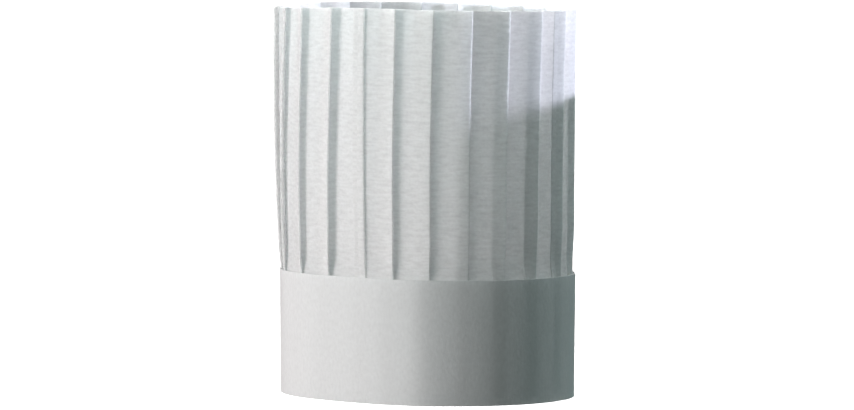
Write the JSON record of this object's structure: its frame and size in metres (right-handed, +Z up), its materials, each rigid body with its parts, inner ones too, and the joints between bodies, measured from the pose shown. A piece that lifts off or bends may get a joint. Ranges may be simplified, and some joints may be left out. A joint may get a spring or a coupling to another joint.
{
  "type": "pleated chef hat",
  "caption": "Tall upright chef's hat: an open-topped crown of knife pleats with a plain smooth headband lapped round its foot.",
  "frame": {"origin": "middle of the hat on the surface that its bottom rim stands on", "axes": "+Z up along the crown, towards its open top; -Y the front; +X the side towards which the pleats' folds point at the front"},
  "size_m": [0.1994, 0.1982, 0.2512],
  "materials": {
    "crown": "matt white non-woven paper with a fine cross grain",
    "headband": "matt white non-woven paper, smooth"
  },
  "bodies": {
    "root": {"crown": "crown", "headband": "headband"}
  },
  "joints": []
}
